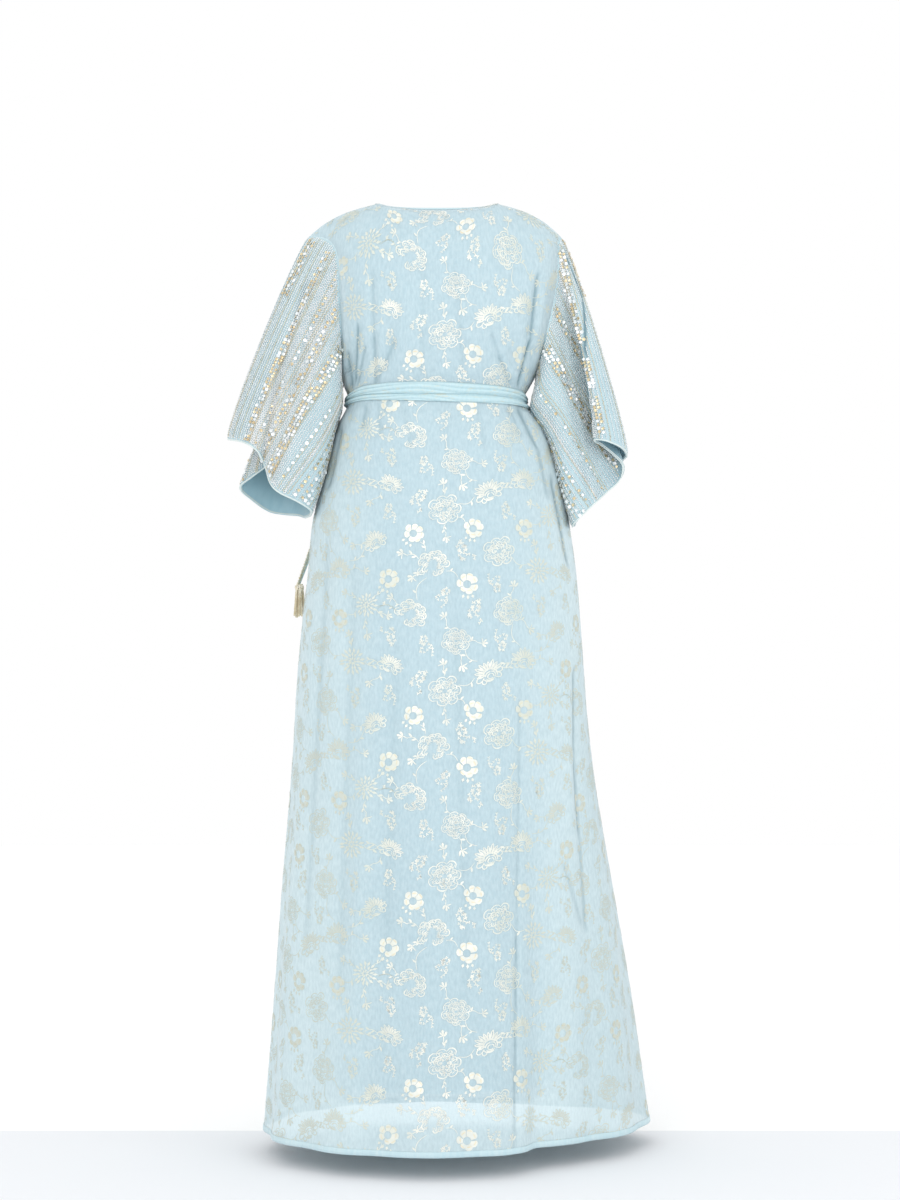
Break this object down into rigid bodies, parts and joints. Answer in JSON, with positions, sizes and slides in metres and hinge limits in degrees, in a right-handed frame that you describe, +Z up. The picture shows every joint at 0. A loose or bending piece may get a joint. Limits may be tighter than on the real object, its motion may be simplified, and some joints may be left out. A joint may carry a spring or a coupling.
{
  "type": "jalabiya gown",
  "caption": "Floor-length pale blue foil-printed chiffon jalabiya as worn, with wide sequinned bell sleeves, a lining, a tied wrap belt and beaded tassels.",
  "frame": {"origin": "middle of the neck opening at the height of the shoulder seams, where the wearer's shoulders carry the gown", "axes": "+Z up, +Y towards the back of the gown, +X towards the wearer's left"},
  "size_m": [0.6719, 0.514, 1.4624],
  "materials": {
    "chiffon": "semi-sheer pale blue chiffon with a metallic foil flower print",
    "sequinned": "grey-blue net covered in radiating rows of silver and gold sequins and beads",
    "satin": "smooth pale blue lining with a soft sheen",
    "belt_cloth": "folded pale blue chiffon over lining",
    "beads": "strands of cream and gold beads"
  },
  "bodies": {
    "root": {"back": "chiffon", "front": "chiffon", "lining_back": "satin", "lining_front": "satin", "sleeve_left": "sequinned", "sleeve_right": "sequinned", "sleeve_lining_left": "satin", "sleeve_lining_right": "satin", "neck_facing": "chiffon", "belt_upper": "belt_cloth", "belt_lower": "belt_cloth", "belt_knot": "belt_cloth", "tie_end_long": "belt_cloth", "tie_end_short": "belt_cloth", "tassel_long": "beads", "tassel_short": "beads"}
  },
  "joints": []
}
